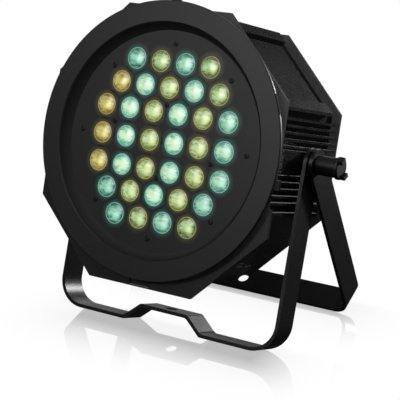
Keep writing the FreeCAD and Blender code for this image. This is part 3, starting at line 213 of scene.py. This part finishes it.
def powder_coat(name, shade, grain, relief, roughness):
    """Satin black coat: fine orange-peel relief, faint mottling and scuffed gloss."""
    grey = (shade, shade, shade * 1.04)
    coat = Shader(name, grey, roughness, Specular_IOR_Level=COAT_SPECULAR)
    fine = coat.noise(grain, 2.0, 0.5)
    broad = coat.noise(BROAD_GRAIN, 4.0, 0.6)
    coat.tint(coat.spread(fine, 0.0, 1.0), scaled((shade,) * 3, COAT_DARK), scaled(grey, COAT_LIGHT))
    gloss = coat.math("ADD", coat.spread(broad, -BROAD_GLOSS, BROAD_GLOSS), roughness)
    coat.roughen(coat.math("ADD", gloss, coat.spread(fine, -FINE_GLOSS, FINE_GLOSS)))
    coat.bump(fine, relief)
    return coat.material


def moulded(name, colour, roughness):
    """Moulded plastic with a spark-eroded grain."""
    plastic = Shader(name, colour, roughness)
    fine = plastic.noise(MOULD_GRAIN, 2.0, 0.5)
    broad = plastic.noise(MOULD_BROAD_GRAIN, 3.0, 0.5)
    plastic.tint(plastic.spread(broad, 0.0, 1.0), scaled(colour, 0.85), scaled(colour, 1.15))
    plastic.roughen(plastic.spread(fine, roughness - 0.06, roughness + 0.08))
    plastic.bump(fine, MOULD_RELIEF)
    return plastic.material


def metal(name, colour, roughness, grain=METAL_GRAIN):
    """Plated or turned metal with fine uneven polish."""
    plate = Shader(name, colour, roughness, Metallic=1.0)
    fine = plate.noise(grain, 4.0, 0.6)
    plate.tint(plate.spread(fine, 0.0, 1.0), scaled(colour, 0.8), scaled(colour, 1.1))
    plate.roughen(plate.spread(fine, roughness - 0.08, roughness + 0.1))
    plate.bump(fine, METAL_RELIEF)
    return plate.material


def board(name, colour):
    """Solder mask with faint tracks under it."""
    mask = Shader(name, colour, 0.35)
    tracks = mask.cells(TRACK_GRAIN)
    mask.tint(mask.spread(tracks, 0.0, 1.0, 0.1, 0.5), scaled(colour, 0.7), scaled(colour, 1.2))
    mask.bump(tracks, BOARD_RELIEF)
    return mask.material


def glass(name, colour, roughness):
    """Clear or tinted plastic or glass with a faintly uneven face."""
    clear = Shader(name, colour, roughness, IOR=1.49, Transmission_Weight=1.0)
    clear.bump(clear.noise(GLASS_GRAIN, 2.0), GLASS_RELIEF)
    return clear.material


def ring_coat_and_shade(name, shade):
    """The front ring's coat: painted shade darkens its inner wall outwards, to near black at the opening's
    edge, and its flat face is even.
    """
    coat = Shader(name, (shade,) * 3, 0.44, Specular_IOR_Level=COAT_SPECULAR)
    radius = coat.head_radius()
    face = coat.spread(radius, 0.0, 0.45, *[limit * MM for limit in RING_FACE])
    # Painted shade: the wall's tone falls from about twice the face's near the panel to near black at the
    # opening's edge.
    wall_shade = coat.spread(radius, 0.9, 0.06, *[limit * MM for limit in RING_WALL_SHADE])
    fine = coat.noise(COAT_GRAIN, 2.0, 0.5)
    lightness_with_shade = coat.math("MAXIMUM", face, wall_shade)
    lightness_with_shade = coat.math("MULTIPLY", lightness_with_shade, coat.spread(fine, COAT_DARK, COAT_LIGHT))
    coat.tint(lightness_with_shade, (0.0004,) * 3, (shade * 2.2, shade * 2.2, shade * 2.3))
    coat.roughen(coat.math("MAXIMUM", coat.spread(fine, 0.39, 0.5), coat.spread(face, 0.7, 0.0, 0.0, 0.45)))
    coat.bump(fine, RING_RELIEF)
    return coat.material


def glow_ramp(surface, source, edge, middle, centre):
    """Colour of a lens from its rim's glow of 0 to the glow of 1 over its LED."""
    ramp = surface.node("ShaderNodeValToRGB")
    stops = ramp.color_ramp.elements
    stops[0].position = 0.08
    stops[0].color = (*edge, 1)
    stops[1].position = 0.92
    stops[1].color = (*centre, 1)
    stops.new(0.4).color = (*middle, 1)
    surface.link(source, ramp.inputs["Fac"])
    return ramp.outputs["Color"]


def blend(surface, share, first, second):
    """The second colour in that share, and the first in the rest."""
    mix = surface.node("ShaderNodeMix", data_type="RGBA")
    for socket, source in zip((mix.inputs[0], mix.inputs[6], mix.inputs[7]), (share, first, second)):
        surface.link(source, socket)
    return mix.outputs[2]


def lit_lens(name, far, near, left):
    """Lit moulded lens: deep at its edge, pale over its LED, with streaks across its facets.

    far, near and left are (edge, middle, centre) colours for lenses far from the middle of the
    panel, near it and in the left-hand column.
    """
    lens = Shader(name, (0.01, 0.01, 0.01), 0.15, Coat_Weight=0.5, Coat_Roughness=0.08)
    glow, nearness, leftness = [
        lens.node("ShaderNodeAttribute", attribute_name=layer).outputs["Fac"]
        for layer in ("glow", "nearness", "leftness")
    ]
    streaks = lens.streaks(FACET_GRAIN, 2.6)
    fine = lens.noise(COAT_GRAIN, 2.0, 0.5)
    ragged = lens.math("ADD", glow, lens.spread(streaks, -0.13, 0.13, 0.32, 0.68))
    ragged = lens.math("ADD", ragged, lens.spread(fine, -0.06, 0.06))
    colour = blend(lens, nearness, glow_ramp(lens, ragged, *far), glow_ramp(lens, ragged, *near))
    colour = blend(lens, leftness, colour, glow_ramp(lens, ragged, *left))
    lens.link(colour, lens.shader.inputs["Emission Color"])
    lens.shader.inputs["Emission Strength"].default_value = 1.0
    lens.bump(fine, LENS_RELIEF)
    return lens.material


def halo(name, colour, strength):
    """A black coat that emits a lens's colour by its glow layer. On the panel round a lens it is painted
    light, standing in for the light the lens spills there, fading outwards; on the lens rims it glows
    evenly.
    """
    painted_spill = Shader(name, (0.012, 0.012, 0.0125), 0.45)
    place = painted_spill.node("ShaderNodeAttribute", attribute_name="glow")
    painted_spill.shader.inputs["Emission Color"].default_value = (*colour, 1)
    fade = painted_spill.math("POWER", place.outputs["Fac"], 2.2)
    painted_spill.link(painted_spill.math("MULTIPLY", fade, strength), painted_spill.shader.inputs["Emission Strength"])
    painted_spill.bump(painted_spill.noise(COAT_GRAIN, 2.0, 0.5), HALO_RELIEF)
    return painted_spill.material


def make_materials():
    """Every material by its slot's name, with those of the pieces that have a finer one."""
    return {
        "black_paint": powder_coat("coat_bar", 0.006, COAT_GRAIN, 0.00012, 0.36),
        "black_sheet": powder_coat("coat_sheet", 0.0095, COAT_GRAIN, 0.00006, 0.4),
        "panel": powder_coat("coat_panel", 0.0115, 1700.0, 0.00004, 0.5),
        "black_cast": powder_coat("coat_cast", 0.0055, 1100.0, 0.00011, 0.27),
        "black_plastic": moulded("plastic_black", (0.014, 0.014, 0.015), 0.38),
        "knob_plastic": moulded("plastic_knob", (0.0022, 0.0022, 0.0024), 0.5),
        "component_black": moulded("plastic_component", (0.02, 0.02, 0.02), 0.4),
        "sleeve_blue": moulded("sleeve_blue", (0.03, 0.06, 0.22), 0.25),
        "black_steel": metal("steel_black", (0.035, 0.035, 0.037), 0.38),
        "spring_steel": metal("steel_spring", (0.05, 0.05, 0.052), 0.35),
        "steel_zinc": metal("steel_zinc", (0.62, 0.62, 0.60), 0.3),
        "contact": metal("nickel", (0.7, 0.69, 0.65), 0.22),
        "brass": metal("brass", (0.75, 0.55, 0.24), 0.28),
        "aluminium_raw": metal("aluminium", (0.78, 0.79, 0.8), 0.35),
        "copper_wound": metal("copper_wound", (0.5, 0.22, 0.09), 0.4, WINDING_GRAIN),
        "board_white": board("mask_white", (0.78, 0.79, 0.76)),
        "board_green": board("mask_green", (0.02, 0.17, 0.06)),
        "emitter": moulded("phosphor", (0.85, 0.75, 0.3), 0.5),
        "window": glass("window_dark", (0.25, 0.03, 0.03), 0.05),
        "fuse_glass": glass("tube_glass", (0.9, 0.93, 0.92), 0.02),
        "lead_red": moulded("lead_red", (0.4, 0.02, 0.02), 0.45),
        "lead_brown": moulded("lead_brown", (0.14, 0.06, 0.03), 0.45),
        "lead_grey": moulded("lead_grey", (0.2, 0.2, 0.22), 0.45),
        # The ring's coat carries painted shade on its inner wall.
        "ring_coat_and_shade": ring_coat_and_shade("coat_ring", 0.012),
        "screw_black": powder_coat("coat_screw", 0.002, COAT_GRAIN, 0.00002, 0.6),
        "cyan_lens": lit_lens(
            "lens_cyan",
            ((0.01, 0.13, 0.09), (0.27, 0.58, 0.42), (0.45, 0.86, 0.78)),
            ((0.09, 0.42, 0.31), (0.66, 0.86, 0.55), (0.66, 0.95, 0.86)),
            ((0.01, 0.13, 0.09), (0.27, 0.58, 0.42), (0.40, 0.82, 0.72))),
        "amber_lens": lit_lens(
            "lens_amber",
            ((0.08, 0.09, 0.008), (0.36, 0.58, 0.29), (0.80, 0.84, 0.38)),
            ((0.17, 0.19, 0.01), (0.50, 0.69, 0.36), (0.85, 0.88, 0.38)),
            ((0.23, 0.13, 0.012), (0.55, 0.51, 0.17), (0.92, 0.84, 0.33))),
        "rim_cyan": halo("rim_cyan", (0.55, 0.8, 0.72), 0.55),
        "rim_amber": halo("rim_amber", (0.7, 0.64, 0.36), 0.5),
        # Painted light: the glow each lit lens spills onto the panel round it.
        "halo_cyan": halo("halo_cyan", (0.0, 0.35, 0.27), 0.22),
        "halo_amber": halo("halo_amber", (0.22, 0.2, 0.0), 0.22),
    }


MATERIALS = make_materials()


# ---------------------------------------------------------------- mesh helpers

def mesh_object(name, mesh, material):
    """A new piece on the head, with the material listed under that slot name."""
    mesh.validate()
    piece = bpy.data.objects.new(name, mesh)
    bpy.context.scene.collection.objects.link(piece)
    mesh.materials.append(MATERIALS[material])
    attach(piece, "head")
    return piece


# A lens counts as near the middle within these millimetres, and as left-hand beyond those.
NEAR_RADIUS = 70.0
NEAR_FADE = 22.0
LEFT_EDGE = -40.0


def turn_profile(build, profile, centre, glow, closed=True):
    """Add a surface of revolution about the head's Y axis at centre (x, z), in millimetres.

    The profile is (depth, radius) pairs. glow(dx, dz) fills the glow layer, and the centre's place
    fills the other two, which the materials read.
    """
    layers = build.verts.layers.float
    brightness, nearness, leftness = [
        layers.get(name) or layers.new(name) for name in ("glow", "nearness", "leftness")
    ]
    inside = min(1.0, max(0.0, (NEAR_RADIUS - math.hypot(*centre)) / NEAR_FADE))
    left = 1.0 if centre[0] < LEFT_EDGE else 0.0
    rings = []
    for depth, radius in profile:
        steps = 1 if radius == 0.0 else LENS_SEGMENTS
        ring = []
        for step in range(steps):
            angle = 2 * math.pi * step / LENS_SEGMENTS
            dx, dz = radius * math.cos(angle), radius * math.sin(angle)
            vert = build.verts.new(HEAD @ (Vector((centre[0] + dx, depth, centre[1] + dz)) * MM))
            vert[brightness] = glow(dx, dz)
            vert[nearness] = inside
            vert[leftness] = left
            ring.append(vert)
        rings.append(ring)
    pairs = list(zip(rings, rings[1:]))
    if closed:
        pairs.append((rings[-1], rings[0]))
    for first, second in pairs:
        if len(first) == 1 and len(second) == 1:
            continue
        for step in range(LENS_SEGMENTS):
            following = (step + 1) % LENS_SEGMENTS
            corners = [first[step % len(first)], first[following % len(first)],
                       second[following % len(second)], second[step % len(second)]]
            build.faces.new(list(dict.fromkeys(corners))).smooth = True


def finished(build, name, material):
    """The built mesh as a piece."""
    bmesh.ops.recalc_face_normals(build, faces=build.faces)
    mesh = bpy.data.meshes.new(name)
    build.to_mesh(mesh)
    build.free()
    return mesh_object(name, mesh, material)


# ---------------------------------------------------------------- CAD nodes

def dress_cad_nodes():
    """Every CAD node takes the material of its slot, and three take a finer one of their own."""
    for part in frame["record"]["subparts"]:
        piece = NODES[part["node"]]
        piece.data.materials.clear()
        piece.data.materials.append(MATERIALS[part["material_slot"]])
    NODES["led_plate"].data.materials[0] = MATERIALS["panel"]
    # The ring takes the coat with painted shade on its inner wall.
    NODES["front_ring"].data.materials[0] = MATERIALS["ring_coat_and_shade"]
    NODES["plate_screws"].data.materials[0] = MATERIALS["screw_black"]


# Width of the rounded edges, in millimetres.
EDGE_WIDTHS = {
    "front_ring": 0.5,
    "front_flange": 0.5,
    "housing": 0.75,
    "rear_cover": 0.5,
    "front_yoke": 0.5,
    "rear_yoke": 0.5,
    "right_knob": 0.5,
    "left_knob": 0.5,
}


def soften_edges():
    """Round the large CAD nodes' sharp edges with a modifier."""
    for node, width in EDGE_WIDTHS.items():
        bevel = NODES[node].modifiers.new("edge", "BEVEL")
        bevel.width = width * MM
        bevel.segments = 3
        bevel.limit_method = "ANGLE"
        bevel.angle_limit = math.radians(32)
        bevel.harden_normals = True


# ---------------------------------------------------------------- lenses

def lens_places(letter):
    """Centres (x, z) of the lenses with that colour letter."""
    places = []
    for height, colours in zip(ROW_HEIGHTS, ROW_COLOURS):
        for column, colour in enumerate(colours):
            if colour == letter:
                places.append((LENS_PITCH * (column - (len(colours) - 1) / 2), height))
    return places


# A lens's sizes in millimetres: the cap is a shallow dome on a skirt, inside a raised rim.
LENS_RADIUS = 8.57
CAP_RADIUS = 8.15
DOME_RADIUS = 30.0
DOME_RISE = 1.26
DOME_STEPS = 14
LENS_SEGMENTS = 48
SKIRT = ((0.1, 8.25), (1.9, 8.25), (1.9, 0.0))
RIM = ((-0.05, 8.12), (-0.26, 8.18), (-0.34, 8.32), (-0.28, 8.48), (-0.08, LENS_RADIUS),
       (1.5, LENS_RADIUS), (1.5, 8.3))
# Painted spilt light round a lens: flat rings HALO_DEPTH in front of the panel, from HALO_START outwards,
# HALO_STEPS of them HALO_STEP apart.
HALO_DEPTH = -0.05
HALO_START = 8.66
HALO_STEP = 0.5
HALO_STEPS = 9
HALO_WIDTH = 4.5

# Where the bright spot over the LED and the paler patch beside it lie, how wide they are, and what
# they and the rest of the lens add to its glow.
SPOT_SHIFT = (2.9, -0.8)
SPOT_WIDTH = 1.9
PATCH_SHIFT = (-3.8, 0.4)
PATCH_WIDTH = 2.6
BODY_SHARE = 0.28
PATCH_SHARE = 0.16
SPOT_SHARE = 0.72


def dome_depth(radius):
    """Depth of the lens's face at that distance from its axis."""
    return DOME_RADIUS - DOME_RISE - math.sqrt(DOME_RADIUS ** 2 - radius ** 2)


def soft_spot(dx, dz, shift, width):
    """A round spot that is 1 at its middle and fades out over about twice its width."""
    return math.exp(-((dx - shift[0]) ** 2 + (dz - shift[1]) ** 2) / (2 * width ** 2))


def lens_glow(dx, dz):
    """1 over the LED, about 0.4 over the facets to its left and 0 at the rim."""
    spot = soft_spot(dx, dz, SPOT_SHIFT, SPOT_WIDTH)
    patch = soft_spot(dx, dz, PATCH_SHIFT, PATCH_WIDTH)
    body = 1.0 - (math.hypot(dx, dz) / LENS_RADIUS) ** 3
    return BODY_SHARE * body + PATCH_SHARE * patch + SPOT_SHARE * spot


def rim_glow(dx, dz):
    """The rim glows evenly."""
    return 1.0


def halo_glow(dx, dz):
    """Painted spilt light: 1 at the lens's edge, falling to 0 over HALO_WIDTH."""
    return max(0.0, 1.0 - (math.hypot(dx, dz) - LENS_RADIUS) / HALO_WIDTH)


def make_lenses():
    """Each lens is a shallow moulded dome with a thin raised rim; the light it spills on the panel is
    painted on a glowing ring round it.
    """
    radii = [CAP_RADIUS * step / DOME_STEPS for step in range(DOME_STEPS + 1)]
    cap = [(dome_depth(radius), radius) for radius in radii] + list(SKIRT)
    painted_spill = [(HALO_DEPTH, HALO_START + HALO_STEP * step) for step in range(HALO_STEPS)]
    for colour, letter in (("cyan", "C"), ("amber", "Y")):
        caps, rims, halos = bmesh.new(), bmesh.new(), bmesh.new()
        for centre in lens_places(letter):
            turn_profile(caps, cap, centre, lens_glow)
            turn_profile(rims, RIM, centre, rim_glow)
            turn_profile(halos, painted_spill, centre, halo_glow, closed=False)
        slot = colour + "_lens"
        lenses = finished(caps, "lens_caps_" + colour, slot)
        finished(rims, "lens_rims_" + colour, "rim_" + colour)
        # The halos are painted light: glowing rings on the panel that stand in for the light each lens
        # spills.
        finished(halos, "lens_halos_" + colour, "halo_" + colour)
        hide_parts("lenses_" + colour)


# ---------------------------------------------------------------- stage, light and camera

# Where the yokes' bars stand on the floor: middle y, half depth and half width, in metres.
FOOTPRINTS = ((-0.0438, 0.012, 0.085), (0.0805, 0.011, 0.1))
# Painted reflection: how far from a footprint the floor is made to mirror, its share there, and how much
# faster that fades behind.
REFLECTION_REACH = 0.085
REFLECTION_SHARE = 0.5
BEHIND_STRETCH = 5.0
FLOOR_ROUGHNESS = 0.06
# How the names end of the nodes that the floor mirrors.
STAND = ("yoke", "knob", "washers", "bolts")

FLOOR_HALF = 6.0
SCREEN_HALF = 1.05
SCREEN_HEIGHT = 1.9
SCREEN_PLACE = (-1.7, 2.7, 0.0)
SCREEN_TURN = math.radians(32.3)


def four_sided(name, corners):
    """A flat piece with those corners."""
    mesh = bpy.data.meshes.new(name)
    mesh.from_pydata(corners, [], [(0, 1, 2, 3)])
    piece = bpy.data.objects.new(name, mesh)
    bpy.context.scene.collection.objects.link(piece)
    return piece


def footprint_distance(surface, middle, half_depth, half_width):
    """Distance on the floor from one bar's footprint."""
    apart = surface.node("ShaderNodeSeparateXYZ")
    surface.link(surface.position, apart.inputs["Vector"])
    beside = surface.math("SUBTRACT", surface.math("ABSOLUTE", apart.outputs["X"], 0.0), half_width)
    along = surface.math("SUBTRACT", apart.outputs["Y"], middle)
    before = surface.math("SUBTRACT", surface.math("MULTIPLY", along, -1.0), half_depth)
    behind = surface.math("MULTIPLY", surface.math("SUBTRACT", along, half_depth), BEHIND_STRETCH)
    beside = surface.math("MAXIMUM", beside, 0.0)
    before = surface.math("MAXIMUM", surface.math("MAXIMUM", before, behind), 0.0)
    squares = [surface.math("MULTIPLY", part, part) for part in (beside, before)]
    return surface.math("SQRT", surface.math("ADD", *squares), 0.0)


def make_floor():
    """White floor that mirrors the stand near its bars and is plain away from them; the mirror is a glossy
    shader, but its share is painted by distance from the bars.
    """
    size = FLOOR_HALF
    floor = four_sided("floor", [(-size, -size, 0), (size, -size, 0), (size, size, 0), (-size, size, 0)])
    surface = Shader("floor_pale", (0.9, 0.9, 0.9), 0.3)
    # Painted reflection and shadow: the mirror's share falls with distance from the footprints; where it
    # mirrors only the dim surround it darkens the floor round the feet.
    near = surface.math("MINIMUM", *[footprint_distance(surface, *bar) for bar in FOOTPRINTS])
    fade = surface.math("POWER", surface.spread(near, 1.0, 0.0, 0.0, REFLECTION_REACH), 2.0)
    mirror = surface.node("ShaderNodeBsdfGlossy")
    mirror.inputs["Roughness"].default_value = FLOOR_ROUGHNESS
    white = surface.node("ShaderNodeEmission")
    mix = surface.node("ShaderNodeMixShader")
    surface.link(surface.math("MULTIPLY", fade, REFLECTION_SHARE), mix.inputs[0])
    surface.link(white.outputs[0], mix.inputs[1])
    surface.link(mirror.outputs[0], mix.inputs[2])
    surface.link(mix.outputs[0], surface.tree.nodes["Material Output"].inputs["Surface"])
    floor.data.materials.append(surface.material)
    floor.visible_diffuse = False
    floor.visible_glossy = False


def make_screen():
    """White screen behind the light, for the floor and the coats to mirror."""
    half, top = SCREEN_HALF, SCREEN_HEIGHT
    screen = four_sided("screen", [(-half, 0, 0), (half, 0, 0), (half, 0, top), (-half, 0, top)])
    screen.location = SCREEN_PLACE
    screen.rotation_euler = (0.0, 0.0, SCREEN_TURN)
    glow = Shader("screen_white", (0.9, 0.9, 0.9), 0.5)
    lit = glow.node("ShaderNodeEmission")
    glow.link(lit.outputs[0], glow.tree.nodes["Material Output"].inputs["Surface"])
    screen.data.materials.append(glow.material)
    screen.visible_diffuse = False


def mirror_stand_only():
    """Hide all of the light from reflections but the two yokes and what lies on their pivots."""
    for piece in bpy.context.scene.objects:
        if piece.type == "MESH" and not piece.name.endswith(STAND):
            piece.visible_glossy = False


# Each soft box's place, size in metres and power in watts; all face the light's middle.
AIM = Vector((0, 0, 0.15))
SOFT_BOXES = {
    "front_box": ((-0.35, -1.1, 0.75), (0.55, 0.5), 4.3),
    "near_box": ((0.16, -0.3, 0.5), (0.15, 0.15), 0.6),
    "top_box": ((0.2, 0.1, 1.5), (0.9, 0.7), 3.0),
    "rim_box": ((1.15, 1.25, 0.62), (0.6, 0.7), 2.0),
    "strip_box": ((0.54, 1.42, 0.32), (0.18, 0.18), 18.0),
}
# How bright the white surround is for everything but the camera.
SURROUND_LEVEL = 0.025


def soft_box(name, place, size, power):
    """A rectangular soft box that faces AIM."""
    light = bpy.data.lights.new(name, "AREA")
    light.shape = "RECTANGLE"
    light.size, light.size_y = size
    light.energy = power
    lamp = bpy.data.objects.new(name, light)
    bpy.context.scene.collection.objects.link(lamp)
    lamp.location = place
    lamp.rotation_euler = (AIM - Vector(place)).to_track_quat("-Z", "Y").to_euler()


def make_light():
    """White all round for the camera, dim for the object, with five soft boxes."""
    world = bpy.data.worlds.new("studio")
    bpy.context.scene.world = world
    world.use_nodes = True
    tree = world.node_tree
    background = tree.nodes["Background"]
    background.inputs["Color"].default_value = (1.0, 1.0, 1.0, 1)
    path = tree.nodes.new("ShaderNodeLightPath")
    level = tree.nodes.new("ShaderNodeMapRange")
    level.inputs["To Min"].default_value = SURROUND_LEVEL
    level.inputs["To Max"].default_value = 1.0
    tree.links.new(path.outputs["Is Camera Ray"], level.inputs["Value"])
    tree.links.new(level.outputs["Result"], background.inputs["Strength"])
    for name, choices in SOFT_BOXES.items():
        soft_box(name, *choices)


CAMERA_PLACE = (0.5586, -0.8791, 0.4377)
CAMERA_PITCH = math.radians(72.216)
CAMERA_YAW = math.radians(32.267)
CAMERA_LENS = 117.38
CAMERA_SENSOR = 36.0


def make_camera():
    """A long lens, to the right of the light and a little above it."""
    camera = bpy.data.cameras.new("camera")
    camera.lens = CAMERA_LENS
    camera.sensor_width = CAMERA_SENSOR
    camera.clip_start = 0.02
    holder = bpy.data.objects.new("camera", camera)
    bpy.context.scene.collection.objects.link(holder)
    holder.location = CAMERA_PLACE
    holder.rotation_euler = (CAMERA_PITCH, 0.0, CAMERA_YAW)
    bpy.context.scene.camera = holder


dress_cad_nodes()
soften_edges()
make_lenses()
mirror_stand_only()
make_floor()
make_screen()
make_light()
make_camera()
bpy.context.scene.view_settings.view_transform = "Standard"
